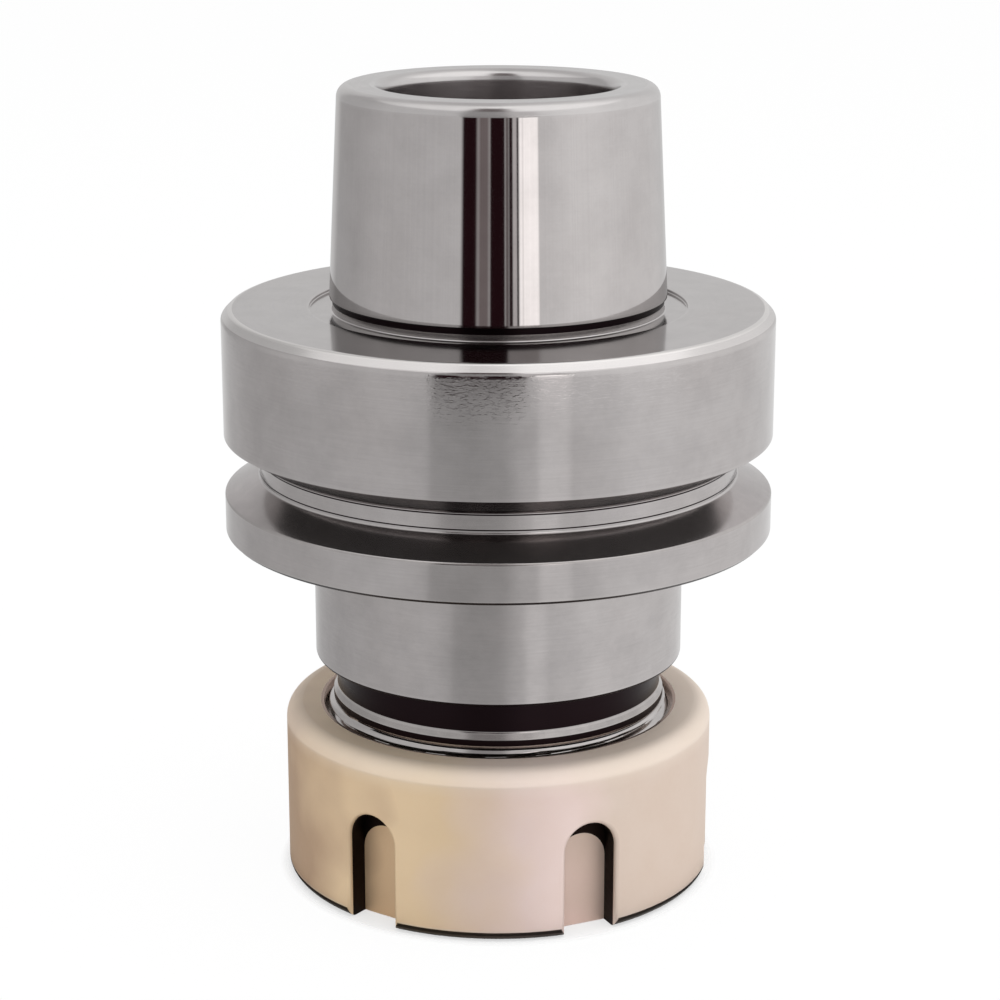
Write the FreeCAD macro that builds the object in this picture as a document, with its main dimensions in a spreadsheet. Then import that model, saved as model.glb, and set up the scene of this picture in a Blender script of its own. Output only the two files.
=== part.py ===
import FreeCAD, Part
import math
import os
import re
import Sketcher

# Collet chuck holder with a hollow-taper shank, a spring collet and a clamping nut.
# The axis is Z. Height 0 is the flange face that meets the spindle: the shank stands
# above it and the nut hangs below it.

# Driving sizes in millimetres, degrees or counts
SIZES = {
    # hollow-taper shank
    "shank_length": 25.0,
    "gauge_dia": 38.009,
    "gauge_height": 5.0,
    "taper_run": 9.98,
    "rim_chamfer": 1.1,
    "chamber_wall": 2.0,
    "lip_step": 3.0,
    "lip_chamfer": 0.6,
    "lip_shoulder_height": 14.1,
    "lip_shoulder_angle": 30.0,
    "chamber_floor": 2.5,
    "base_undercut": 0.4,
    "base_undercut_height": 0.9,
    "face_relief_width": 2.25,
    "face_relief_depth": 0.4,
    # flange with its tool-changer groove
    "flange_dia": 63.0,
    "flange_height": 26.0,
    "face_chamfer": 1.0,
    "back_chamfer": 0.5,
    "groove_to_back": 8.0,
    "groove_depth": 4.0,
    "groove_flat": 2.14,
    "groove_angle": 60.0,
    # neck and threaded nose
    "neck_length": 15.0,
    "neck_step": 1.4,
    "undercut_length": 4.2,
    "undercut_depth": 1.05,
    "run_out_length": 1.4,
    "run_out_depth": 0.6,
    "nose_wall": 3.5,
    "nose_gap": 1.7,
    "nose_chamfer": 1.0,
    "seat_clearance": 0.05,
    "seat_overrun": 3.0,
    "tool_bore_dia": 21.0,
    "tool_bore_end": 16.0,
    # spring collet
    "collet_length": 40.0,
    "collet_land_dia": 33.0,
    "collet_wall": 8.5,
    "collet_land": 1.0,
    "collet_taper_angle": 8.0,
    "head_step": 0.4,
    "head_rise": 2.3,
    "head_angle": 30.0,
    "head_land": 1.0,
    "head_groove": 3.2,
    "head_groove_depth": 1.7,
    "slit_count": 8.0,
    "slit_width": 1.0,
    "front_slit_end_wall": 5.0,
    "rear_slit_end_wall": 7.0,
    "collet_edge_break": 0.4,
    "collet_recess": 0.6,
    # clamping nut
    "nut_wall": 5.0,
    "nut_length": 20.3,
    "nut_gap": 0.6,
    "nut_top_chamfer": 1.2,
    "nut_bottom_chamfer": 0.6,
    "nut_thread_lead": 0.6,
    "thread_clearance": 0.05,
    "cone_clearance": 0.08,
    "head_clearance": 0.2,
    "lip_clearance": 0.3,
    "lip_gap": 0.4,
    "lip_offset": 0.7,
    "slot_count": 6.0,
    "slot_width": 6.2,
    "slot_depth": 3.0,
    "slot_height": 13.2,
    "slot_edge_chamfer": 0.4,
    "slot_azimuth": 24.7,
    # length stop screw
    "screw_dia": 16.0,
    "screw_length": 14.0,
    "screw_low_end": 13.0,
    "screw_clearance": 0.05,
    "screw_chamfer": 1.0,
    "hex_across": 8.0,
    "hex_depth": 8.0,
}

# Heights and radii that follow from the driving sizes, as formulas in their names
TAPER_TOP_RADIUS = "(gauge_dia - (shank_length - gauge_height) / taper_run) / 2"
TAPER_BASE_RADIUS = "(gauge_dia + gauge_height / taper_run) / 2"
CHAMBER_RADIUS = f"({TAPER_TOP_RADIUS} - chamber_wall)"
LIP_BORE_RADIUS = f"({CHAMBER_RADIUS} - lip_step)"
SHOULDER_HALF = "lip_step / 2 / tan(lip_shoulder_angle * 1deg)"
GROOVE_CENTRE = "(flange_height - groove_to_back)"
GROOVE_ROOT_RADIUS = "(flange_dia / 2 - groove_depth)"
GROOVE_MOUTH_HALF = "(groove_flat / 2 + groove_depth * tan(groove_angle * 1deg / 2))"
THREAD_RADIUS = "(collet_land_dia / 2 + nose_wall)"
NECK_END = "(flange_height + neck_length)"
UNDERCUT_RADIUS = f"({THREAD_RADIUS} - undercut_depth)"
UNDERCUT_END = f"({NECK_END} + undercut_length)"
RUN_OUT_RADIUS = f"({THREAD_RADIUS} - run_out_depth)"
RUN_OUT_END = f"({UNDERCUT_END} + run_out_length)"
NUT_FRONT = f"({RUN_OUT_END} + nut_gap + nut_length)"
COLLET_FACE = f"({NUT_FRONT} - collet_recess)"
COLLET_BORE_RADIUS = "(collet_land_dia / 2 - collet_wall)"
HEAD_RADIUS = "(collet_land_dia / 2 - head_step)"
HEAD_FACE_RADIUS = f"({HEAD_RADIUS} - head_rise)"
HEAD_GROOVE_RADIUS = f"({HEAD_RADIUS} - head_groove_depth)"
HEAD_CONE = "(head_rise / tan(head_angle * 1deg))"
HEAD_END = f"({HEAD_CONE} + head_land)"
GROOVE_END = f"({HEAD_END} + head_groove)"
LAND_END = f"({GROOVE_END} + collet_land)"
COLLET_SLOPE = "tan(collet_taper_angle * 1deg)"
COLLET_TAIL_RADIUS = f"(collet_land_dia / 2 - (collet_length - {LAND_END}) * {COLLET_SLOPE})"
LIP_LOW = f"(collet_recess + {HEAD_END} + lip_clearance)"
LIP_HIGH = f"(collet_recess + {GROOVE_END} - lip_clearance)"
LIP_HOLE_RADIUS = f"({HEAD_GROOVE_RADIUS} + lip_gap + lip_offset)"
NOSE_END = f"({NUT_FRONT} - {LIP_HIGH} - nose_gap)"
SEAT_MOUTH_RADIUS = (f"(collet_land_dia / 2 + seat_clearance"
                     f" + ({NOSE_END} - {COLLET_FACE} + {LAND_END}) * {COLLET_SLOPE})")
SEAT_END = f"({COLLET_FACE} - collet_length - seat_overrun)"
SEAT_END_RADIUS = f"({SEAT_MOUTH_RADIUS} - ({NOSE_END} - {SEAT_END}) * {COLLET_SLOPE})"
NUT_RADIUS = f"({THREAD_RADIUS} + nut_wall)"
THREAD_BORE_RADIUS = f"({THREAD_RADIUS} + thread_clearance)"
HEAD_BORE_RADIUS = f"({HEAD_RADIUS} + head_clearance)"
CONE_GAP = "cone_clearance / cos(head_angle * 1deg)"
MOUTH_RADIUS = f"({HEAD_FACE_RADIUS} + {CONE_GAP} - collet_recess * tan(head_angle * 1deg))"
CONE_END = f"(({HEAD_BORE_RADIUS} - {MOUTH_RADIUS}) / tan(head_angle * 1deg))"
SCREW_RADIUS = "(screw_dia / 2 - screw_clearance)"

# Distance that a cutting outline reaches past the face it opens
PAST = "1"

# Greatest difference, in millimetres, between an edge and the corner that made it
EDGE_MATCH = 1e-4

UPWARD = FreeCAD.Vector(0, 0, 1)
IN_SKETCH_UP = FreeCAD.Vector(0, 1, 0)

doc = FreeCAD.newDocument("collet_chuck_holder")
sheet = doc.addObject("Spreadsheet::Sheet", "Sizes")
for row, (alias, size) in enumerate(SIZES.items(), start=1):
    sheet.set(f"A{row}", alias)
    sheet.set(f"B{row}", str(size))
    sheet.setAlias(f"B{row}", alias)
doc.recompute()


def cell(word):
    return f"Sizes.{word.group()}" if word.group() in SIZES else word.group()


def bound(formula):
    """Formula in which each size is read from its cell of the sheet."""
    return re.sub(r"[a-z]\w*", cell, formula)


def new_body(name):
    body = doc.addObject("PartDesign::Body", name)
    body.Label = name
    return body


def origin_part(body, role):
    return next(part for part in body.Origin.OriginFeatures if part.Role == role)


def new_sketch(body, name, role):
    sketch = body.newObject("Sketcher::SketchObject", name)
    sketch.AttachmentSupport = [(origin_part(body, role), "")]
    sketch.MapMode = "FlatFace"
    return sketch


def place_point(sketch, line, end, across, along):
    """Tie a point of a line to the sketch's axes by two formulas."""
    for kind, axis, formula in (("DistanceX", -2, across), ("DistanceY", -1, along)):
        if formula == "0":
            sketch.addConstraint(Sketcher.Constraint("PointOnObject", line, end, axis))
        else:
            tie = sketch.addConstraint(Sketcher.Constraint(kind, -1, 1, line, end, 1.0))
            sketch.setExpression(f"Constraints[{tie}]", bound(formula))


def on_circle(share):
    """Starting place of a corner, before the sketch is solved."""
    return FreeCAD.Vector(math.cos(2 * math.pi * share), math.sin(2 * math.pi * share), 0)


def draw_outline(sketch, corners):
    """Closed outline of straight lines through named corners (across, along)."""
    count = len(corners)
    for number in range(count):
        line = Part.LineSegment(on_circle(number / count), on_circle((number + 1) / count))
        sketch.addGeometry(line, False)
    for number, (across, along) in enumerate(corners.values()):
        following = (number + 1) % count
        sketch.addConstraint(Sketcher.Constraint("Coincident", number, 2, following, 1))
        place_point(sketch, number, 1, across, along)
    doc.recompute()


def turned(body, name, corners, kind="PartDesign::Revolution"):
    """Ring that a half section, with corners (radius, height), sweeps about the axis."""
    sketch = new_sketch(body, name + "_section", "XZ_Plane")
    draw_outline(sketch, corners)
    feature = body.newObject(kind, name)
    feature.Profile = sketch
    feature.ReferenceAxis = (sketch, ["V_Axis"])
    feature.Angle = 360.0
    doc.recompute()
    return feature


def bored(body, name, corners):
    return turned(body, name, corners, kind="PartDesign::Groove")


def corner_place(feature, corners, corner):
    """Radius and height, as x and y, of a named corner of a half section."""
    return feature.Profile[0].getPoint(list(corners).index(corner), 1)


def round_edge(body, feature, corners, corner):
    """Name of the circular edge that a corner of a half section left on the body."""
    place = corner_place(feature, corners, corner)
    for number, edge in enumerate(body.Shape.Edges, start=1):
        if isinstance(edge.Curve, Part.Circle):
            off = max(abs(edge.Curve.Center.z - place.y), abs(edge.Curve.Radius - place.x))
            if off < EDGE_MATCH:
                return f"Edge{number}"
    raise RuntimeError(f"no edge on {body.Label} at {corner}")


def chamfered(body, name, edges, size):
    """Chamfer of one size along the named edges."""
    base = body.Tip
    feature = body.newObject("PartDesign::Chamfer", name)
    feature.Base = (base, edges)
    feature.setExpression("Size", bound(size))
    doc.recompute()
    return feature


def chamfer_corners(body, name, feature, corners, picked, size):
    """Chamfer of the round edges that some corners of a section left."""
    edges = [round_edge(body, feature, corners, corner) for corner in picked]
    return chamfered(body, name, edges, size)


def pocketed(body, name, sketch, length, midplane=False, reverse=False):
    """Straight cut of a given length along the sketch's normal."""
    pocket = body.newObject("PartDesign::Pocket", name)
    pocket.Profile = sketch
    pocket.setExpression("Length", bound(length))
    pocket.Midplane = midplane
    pocket.Reversed = reverse
    doc.recompute()
    return pocket


def repeated(body, name, feature, count):
    """Copies of a cut, spaced evenly round the axis."""
    pattern = body.newObject("PartDesign::PolarPattern", name)
    pattern.Originals = [feature]
    pattern.Axis = (origin_part(body, "Z_Axis"), [""])
    pattern.Angle = 360.0
    pattern.setExpression("Occurrences", bound(count))
    body.Tip = pattern
    doc.recompute()
    return pattern


def make_holder():
    """Shank, flange, neck and threaded nose, turned from one bar."""
    body = new_body("holder_body")
    blank_corners = {
        "axis_top": ("0", "shank_length"),
        "rim": (TAPER_TOP_RADIUS, "shank_length"),
        "taper_base": (TAPER_BASE_RADIUS, "0"),
        "face_edge": ("flange_dia / 2", "0"),
        "back_edge": ("flange_dia / 2", "-flange_height"),
        "neck_root": (f"{THREAD_RADIUS} + neck_step", "-flange_height"),
        "neck_edge": (f"{THREAD_RADIUS} + neck_step", f"-{NECK_END}"),
        "undercut_top": (UNDERCUT_RADIUS, f"-{NECK_END}"),
        "undercut_low": (UNDERCUT_RADIUS, f"-{UNDERCUT_END}"),
        "run_out_top": (RUN_OUT_RADIUS, f"-{UNDERCUT_END} - (undercut_depth - run_out_depth)"),
        "run_out_low": (RUN_OUT_RADIUS, f"-{RUN_OUT_END}"),
        "thread_start": (THREAD_RADIUS, f"-{RUN_OUT_END} - run_out_depth"),
        "nose_edge": (THREAD_RADIUS, f"-{NOSE_END}"),
        "axis_low": ("0", f"-{NOSE_END}"),
    }
    blank = turned(body, "blank", blank_corners)

    bored(body, "gripper_groove", {
        "high_mouth": ("flange_dia / 2", f"-{GROOVE_CENTRE} + {GROOVE_MOUTH_HALF}"),
        "high_root": (GROOVE_ROOT_RADIUS, f"-{GROOVE_CENTRE} + groove_flat / 2"),
        "low_root": (GROOVE_ROOT_RADIUS, f"-{GROOVE_CENTRE} - groove_flat / 2"),
        "low_mouth": ("flange_dia / 2", f"-{GROOVE_CENTRE} - {GROOVE_MOUTH_HALF}"),
    })

    bored(body, "face_relief", {
        "inner_low": (f"{TAPER_BASE_RADIUS} - base_undercut", "-face_relief_depth"),
        "outer_low": (f"{TAPER_BASE_RADIUS} + face_relief_width", "-face_relief_depth"),
        "outer_high": (f"{TAPER_BASE_RADIUS} + face_relief_width", "base_undercut_height"),
        "inner_high": (f"{TAPER_BASE_RADIUS} - base_undercut", "base_undercut_height"),
    })

    shank_corners = {
        "axis_high": ("0", f"shank_length + {PAST}"),
        "lip_past": (LIP_BORE_RADIUS, f"shank_length + {PAST}"),
        "lip_mouth": (LIP_BORE_RADIUS, "shank_length"),
        "lip_end": (LIP_BORE_RADIUS, f"lip_shoulder_height + {SHOULDER_HALF}"),
        "chamber_top": (CHAMBER_RADIUS, f"lip_shoulder_height - {SHOULDER_HALF}"),
        "chamber_low": (CHAMBER_RADIUS, "chamber_floor"),
        "axis_floor": ("0", "chamber_floor"),
    }
    clamping_chamber = bored(body, "clamping_chamber", shank_corners)

    bored(body, "collet_seat", {
        "axis_past": ("0", f"-{NOSE_END} - {PAST}"),
        "mouth_past": (f"{SEAT_MOUTH_RADIUS} + {PAST} * {COLLET_SLOPE}", f"-{NOSE_END} - {PAST}"),
        "seat_mouth": (SEAT_MOUTH_RADIUS, f"-{NOSE_END}"),
        "seat_end": (SEAT_END_RADIUS, f"-{SEAT_END}"),
        "tool_low": ("tool_bore_dia / 2", f"-{SEAT_END}"),
        "tool_high": ("tool_bore_dia / 2", "-tool_bore_end"),
        "axis_high": ("0", "-tool_bore_end"),
    })

    bored(body, "stop_screw_hole", {
        "axis_low": ("0", f"-tool_bore_end - {PAST}"),
        "wall_low": ("screw_dia / 2", f"-tool_bore_end - {PAST}"),
        "wall_high": ("screw_dia / 2", f"chamber_floor + {PAST}"),
        "axis_high": ("0", f"chamber_floor + {PAST}"),
    })

    chamfer_corners(body, "face_edge", blank, blank_corners, ["face_edge"], "face_chamfer")
    chamfer_corners(body, "back_edge", blank, blank_corners, ["back_edge"], "back_chamfer")
    chamfer_corners(body, "nose_edge", blank, blank_corners, ["nose_edge"], "nose_chamfer")
    chamfer_corners(body, "rim_edge", blank, blank_corners, ["rim"], "rim_chamfer")
    chamfer_corners(body, "lip_edge", clamping_chamber, shank_corners, ["lip_mouth"], "lip_chamfer")
    return body


def make_collet():
    """Spring collet: slit from both ends, so that it closes evenly on a tool shank."""
    body = new_body("collet")
    corners = {
        "face_bore": (COLLET_BORE_RADIUS, "0"),
        "face_rim": (HEAD_FACE_RADIUS, "0"),
        "head_low": (HEAD_RADIUS, HEAD_CONE),
        "head_high": (HEAD_RADIUS, HEAD_END),
        "groove_low": (HEAD_GROOVE_RADIUS, HEAD_END),
        "groove_high": (HEAD_GROOVE_RADIUS, GROOVE_END),
        "land_low": ("collet_land_dia / 2", GROOVE_END),
        "land_high": ("collet_land_dia / 2", LAND_END),
        "tail_rim": (COLLET_TAIL_RADIUS, "collet_length"),
        "tail_bore": (COLLET_BORE_RADIUS, "collet_length"),
    }
    cone = turned(body, "cone", corners)
    chamfer_corners(body, "collet_edges", cone, corners,
                    ["face_bore", "face_rim", "tail_rim", "tail_bore"], "collet_edge_break")

    front_low = ("0", f"-{PAST}")
    front_high = (f"collet_land_dia / 2 + {PAST}", "collet_length - front_slit_end_wall")
    front_slit = slit(body, "front_slit", front_low, front_high, "0")
    repeated(body, "front_slits", front_slit, "slit_count")
    rear_low = ("0", "rear_slit_end_wall")
    rear_high = (f"collet_land_dia / 2 + {PAST}", f"collet_length + {PAST}")
    rear_slit = slit(body, "rear_slit", rear_low, rear_high, "180 / slit_count")
    repeated(body, "rear_slits", rear_slit, "slit_count")
    lowered(body, COLLET_FACE)
    return body


def slit(body, name, low, high, turn):
    """Thin radial cut between two corners of a rectangle, turned about the axis."""
    sketch = new_sketch(body, name + "_side", "XZ_Plane")
    sketch.setExpression("AttachmentOffset.Rotation.Angle", bound(turn))
    sketch.AttachmentOffset = FreeCAD.Placement(FreeCAD.Vector(), FreeCAD.Rotation(IN_SKETCH_UP, 0))
    draw_outline(sketch, {
        "low_inner": (low[0], low[1]),
        "low_outer": (high[0], low[1]),
        "high_outer": (high[0], high[1]),
        "high_inner": (low[0], high[1]),
    })
    return pocketed(body, name, sketch, "slit_width", midplane=True)


def make_nut():
    """Clamping nut, with the off-centre lip that pulls the collet out by its groove."""
    body = new_body("clamping_nut")
    corners = {
        "mouth": (MOUTH_RADIUS, "0"),
        "low_rim": (NUT_RADIUS, "0"),
        "high_rim": (NUT_RADIUS, "nut_length"),
        "thread_mouth": (THREAD_BORE_RADIUS, "nut_length"),
        "thread_end": (THREAD_BORE_RADIUS, LIP_HIGH),
        "lip_high": (HEAD_GROOVE_RADIUS, LIP_HIGH),
        "lip_low": (HEAD_GROOVE_RADIUS, LIP_LOW),
        "head_high": (HEAD_BORE_RADIUS, LIP_LOW),
        "head_low": (HEAD_BORE_RADIUS, CONE_END),
    }
    ring = turned(body, "ring", corners)
    chamfer_corners(body, "top_rim", ring, corners, ["high_rim"], "nut_top_chamfer")
    chamfer_corners(body, "bottom_rim", ring, corners, ["low_rim"], "nut_bottom_chamfer")
    chamfer_corners(body, "thread_lead", ring, corners, ["thread_mouth"], "nut_thread_lead")

    lip_hole = new_sketch(body, "lip_hole_outline", "XY_Plane")
    lip_hole.setExpression("AttachmentOffset.Base.z", bound(LIP_LOW))
    draw_circle(lip_hole, "lip_offset", LIP_HOLE_RADIUS)
    pocketed(body, "lip_hole", lip_hole, f"{LIP_HIGH} - {LIP_LOW}", reverse=True)

    slot_outline = new_sketch(body, "wrench_slot_outline", "XZ_Plane")
    slot_outline.setExpression("AttachmentOffset.Base.z", bound(f"{NUT_RADIUS} - slot_depth"))
    draw_arch(slot_outline, "slot_width / 2", f"-{PAST}", "slot_height")
    wrench_slot = pocketed(body, "wrench_slot", slot_outline, f"slot_depth + {PAST}", reverse=True)
    slots = repeated(body, "wrench_slots", wrench_slot, "slot_count")
    rims = slot_rims(slots, corner_place(ring, corners, "high_rim").x)
    chamfered(body, "slot_edges", rims, "slot_edge_chamfer")

    body.setExpression("Placement.Rotation.Angle", bound("slot_azimuth"))
    lowered(body, NUT_FRONT)
    return body


def draw_circle(sketch, across, radius):
    """Circle centred on the sketch's first axis."""
    sketch.addGeometry(Part.Circle(FreeCAD.Vector(1, 0, 0), UPWARD, 2.0), False)
    place_point(sketch, 0, 3, across, "0")
    size = sketch.addConstraint(Sketcher.Constraint("Radius", 0, 2.0))
    sketch.setExpression(f"Constraints[{size}]", bound(radius))
    doc.recompute()


def draw_arch(sketch, half_width, foot, top):
    """Slot outline: two upright sides, an open foot and a half-round top."""
    left, right, low, crown = 0, 1, 2, 3
    spring = f"{top} - {half_width}"
    sketch.addGeometry(Part.LineSegment(FreeCAD.Vector(-1, 0, 0), FreeCAD.Vector(-1, 2, 0)), False)
    sketch.addGeometry(Part.LineSegment(FreeCAD.Vector(1, 0, 0), FreeCAD.Vector(1, 2, 0)), False)
    sketch.addGeometry(Part.LineSegment(FreeCAD.Vector(-1, 0, 0), FreeCAD.Vector(1, 0, 0)), False)
    half_turn = Part.Circle(FreeCAD.Vector(0, 2, 0), UPWARD, 1.0)
    sketch.addGeometry(Part.ArcOfCircle(half_turn, 0, math.pi), False)
    for line, side in ((left, f"-({half_width})"), (right, half_width)):
        place_point(sketch, line, 1, side, foot)
        place_point(sketch, line, 2, side, spring)
    for first, first_end, second, second_end in (
            (low, 1, left, 1), (low, 2, right, 1), (crown, 1, right, 2), (crown, 2, left, 2)):
        sketch.addConstraint(
            Sketcher.Constraint("Coincident", first, first_end, second, second_end))
    level = sketch.addConstraint(Sketcher.Constraint("DistanceY", -1, 1, crown, 3, 2.0))
    sketch.setExpression(f"Constraints[{level}]", bound(spring))
    doc.recompute()


def slot_rims(slots, outside):
    """Names of the edges where the wrench slots break through the wall of that radius."""
    names = []
    for number, edge in enumerate(slots.Shape.Edges, start=1):
        points = edge.discretize(5)
        heights = [point.z for point in points]
        on_wall = all(abs(math.hypot(point.x, point.y) - outside) < EDGE_MATCH for point in points)
        if on_wall and max(heights) - min(heights) > EDGE_MATCH:
            names.append(f"Edge{number}")
    return names


def make_stop_screw():
    """Hollow-headed screw behind the collet, which sets how deep a tool goes in."""
    body = new_body("stop_screw")
    corners = {
        "axis_low": ("0", "0"),
        "low_rim": (SCREW_RADIUS, "0"),
        "high_rim": (SCREW_RADIUS, "screw_length"),
        "axis_high": ("0", "screw_length"),
    }
    shank = turned(body, "shank", corners)
    chamfer_corners(body, "screw_ends", shank, corners, ["low_rim", "high_rim"], "screw_chamfer")
    hexagon = new_sketch(body, "hex_outline", "XY_Plane")
    hexagon.setExpression("AttachmentOffset.Base.z", bound("screw_length"))
    sides = 6
    draw_outline(hexagon, {
        f"corner_{number}": hex_corner(number * 360 / sides) for number in range(sides)})
    pocketed(body, "hex_socket", hexagon, "hex_depth")
    lowered(body, "screw_low_end")
    return body


def hex_corner(angle):
    """Corner of the hexagon whose opposite sides are one wrench size apart."""
    reach = "hex_across / 2 / cos(30deg)"
    across = "0" if angle % 180 == 90 else f"{reach} * cos({angle}deg)"
    along = "0" if angle % 180 == 0 else f"{reach} * sin({angle}deg)"
    return across, along


def lowered(body, formula):
    """Hang the body below the flange face by a distance."""
    body.setExpression("Placement.Base.z", bound(f"-({formula})"))
    doc.recompute()


CUTS = ("PartDesign::Groove", "PartDesign::Pocket", "PartDesign::PolarPattern")


def check_document():
    """Stop if a feature failed, or if a cut took nothing away."""
    for item in doc.Objects:
        if "Invalid" in item.State or "Error" in item.State:
            raise RuntimeError(f"{item.Name} failed")
        if item.TypeId in CUTS:
            before = item.BaseFeature or item.Originals[0]
            if not item.Shape.Volume < before.Shape.Volume:
                raise RuntimeError(f"{item.Name} cut nothing")


def write_body(body):
    shape = body.Shape
    if shape.isNull() or not shape.isValid() or len(shape.Solids) != 1:
        raise RuntimeError(f"{body.Label} is not one sound solid")
    shape.exportStep(os.path.join("parts", body.Label + ".step"))
    print(f"{body.Label}: {shape.Volume:.1f} cubic mm, {len(shape.Faces)} faces")


bodies = [make_holder(), make_collet(), make_nut(), make_stop_screw()]
check_document()
os.makedirs("parts", exist_ok=True)
for finished in bodies:
    write_body(finished)
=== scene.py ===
import math

import bmesh
import bpy
import numpy as np
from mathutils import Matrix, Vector


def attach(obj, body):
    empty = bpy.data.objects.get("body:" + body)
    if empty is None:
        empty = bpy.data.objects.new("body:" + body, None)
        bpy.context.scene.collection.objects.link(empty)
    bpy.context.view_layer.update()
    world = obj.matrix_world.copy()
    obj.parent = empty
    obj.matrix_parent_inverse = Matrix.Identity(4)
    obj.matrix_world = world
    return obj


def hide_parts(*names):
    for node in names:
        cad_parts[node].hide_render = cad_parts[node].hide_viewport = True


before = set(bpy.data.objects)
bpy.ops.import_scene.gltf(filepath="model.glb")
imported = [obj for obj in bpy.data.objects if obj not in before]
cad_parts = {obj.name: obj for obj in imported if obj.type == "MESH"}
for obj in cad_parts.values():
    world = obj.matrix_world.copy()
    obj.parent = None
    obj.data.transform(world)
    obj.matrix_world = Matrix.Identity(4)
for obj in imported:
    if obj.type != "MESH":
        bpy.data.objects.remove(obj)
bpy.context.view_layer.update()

MM = 0.001
SEGMENTS = 224
CREASE = math.radians(35)

# Driving sizes of the holder in millimetres, the same as in the source of the solids
SHANK_TOP = 25.0
GAUGE_DIA, GAUGE_HEIGHT, TAPER_RUN = 38.009, 5.0, 9.98
CHAMBER_WALL, CHAMBER_FLOOR, LIP_STEP = 2.0, 2.5, 3.0
SHOULDER_HEIGHT, SHOULDER_ANGLE = 14.1, math.radians(30)
BASE_CUT = 0.4
RELIEF_WIDTH, RELIEF_DEPTH = 2.25, 0.4
FLANGE, FLANGE_LOW = 31.5, -26.0
GROOVE_TO_BACK, GROOVE_DEPTH, GROOVE_FLAT, GROOVE_SLANT = 8.0, 4.0, 2.14, math.radians(30)
NECK_LENGTH, NECK_STEP = 15.0, 1.4
UNDERCUT_LENGTH, UNDERCUT_DEPTH = 4.2, 1.05
RUN_OUT_LENGTH, RUN_OUT_DEPTH = 1.4, 0.6
NOSE_WALL, NOSE_GAP, NOSE_CHAMFER, PITCH = 3.5, 1.7, 1.0, 1.5
SEAT_CLEARANCE, SEAT_OVERRUN = 0.05, 3.0
TOOL_ROOM, TOOL_ROOM_TOP, SCREW_HOLE = 10.5, -16.0, 8.0

# Driving sizes of the collet, which give the nose's seat and the nut's inside
COLLET, COLLET_LENGTH, COLLET_RECESS, COLLET_LAND = 16.5, 40.0, 0.6, 1.0
COLLET_SLOPE = math.tan(math.radians(8))
HEAD_STEP, HEAD_RISE, HEAD_LAND, HEAD_ANGLE = 0.4, 2.3, 1.0, math.radians(30)
HEAD_GROOVE, HEAD_GROOVE_DEPTH = 3.2, 1.7

# Driving sizes of the nut
NUT_WALL, NUT_LENGTH, NUT_GAP, MOUTH_CHAMFER = 5.0, 20.3, 0.6, 0.6
CONE_CLEARANCE, HEAD_CLEARANCE = 0.08, 0.2
LIP_CLEARANCE, LIP_GAP, LIP_OFFSET = 0.3, 0.4, 0.7
SLOT_HALF, SLOT_DEPTH, SLOT_HEIGHT, SLOT_COUNT = 3.1, 3.0, 13.2, 6
NUT_TURN = math.radians(24.7)

# Small forms seen in the photo, left to this script
RIM_ROUND, LIP_ROUND, NUT_ROUND, FOOT_ROUND = 1.4, 1.3, 2.0, 1.1
# Heights of the dark band at the taper's foot, with the painted highlight on the land below it
CUT_TOP, CUT_FOOT = 1.1, 0.4
FACE_CHAMFER, BACK_CHAMFER = 1.0, 0.4
# Width of the thin painted shade lines beside the groove's root, and of a ring on the nut's top
LINE = 0.15
COLLAR_BELOW, COLLAR_LENGTH, THREAD_BELOW = 3.95, 0.65, 0.75
# The second size is the height of the painted shadow under each slot's arch
SLOT_ROUND, SLOT_SHADOW = 0.55, 2.2

# Roundings of the other edges, from sharp to soft
SHARP, TINY, FINE, BROKEN, EASED, SOFT = 0.0, 0.05, 0.1, 0.15, 0.2, 0.3
CUT_EDGE, NECK_EDGE, SEAT_EDGE, COLLAR_EDGE = 0.12, 0.35, 0.4, 0.5
FACE_EDGE, FLANGE_EDGE, ROOT_FILLET = 0.7, 0.6, 0.7

# Thread ridges: distances from the nominal radius, flats of root and crest, and run-in
CREST_GAP, ROOT_DEPTH = 0.03, 0.88
NUT_ROOT_GAP, NUT_CREST_DEPTH = 0.05, 0.76
ROOT_END, CREST_START, FLANK_BEND = 0.14, 0.86, 0.25
RIDGE_SHORTEST, RIDGE_ROW = 5.0, 0.09
THREAD_LEAD_SLOPE = 0.68
RUN_DEPTH, RUN_IN, RUN_OUT, RUN_DELAY = 0.8, 0.9, 0.8, 0.4

# Sizes of the shank and the flange that follow from them
TAPER_SLOPE = 1 / (2 * TAPER_RUN)
TAPER_TOP = GAUGE_DIA / 2 - (SHANK_TOP - GAUGE_HEIGHT) * TAPER_SLOPE
CHAMBER = TAPER_TOP - CHAMBER_WALL
LIP_BORE = CHAMBER - LIP_STEP
SHOULDER_RISE = LIP_STEP / math.tan(SHOULDER_ANGLE) / 2
GROOVE_ROOT = FLANGE - GROOVE_DEPTH
GROOVE_CENTRE = FLANGE_LOW + GROOVE_TO_BACK
GROOVE_MOUTH = GROOVE_FLAT / 2 + GROOVE_DEPTH * math.tan(GROOVE_SLANT)

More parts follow.
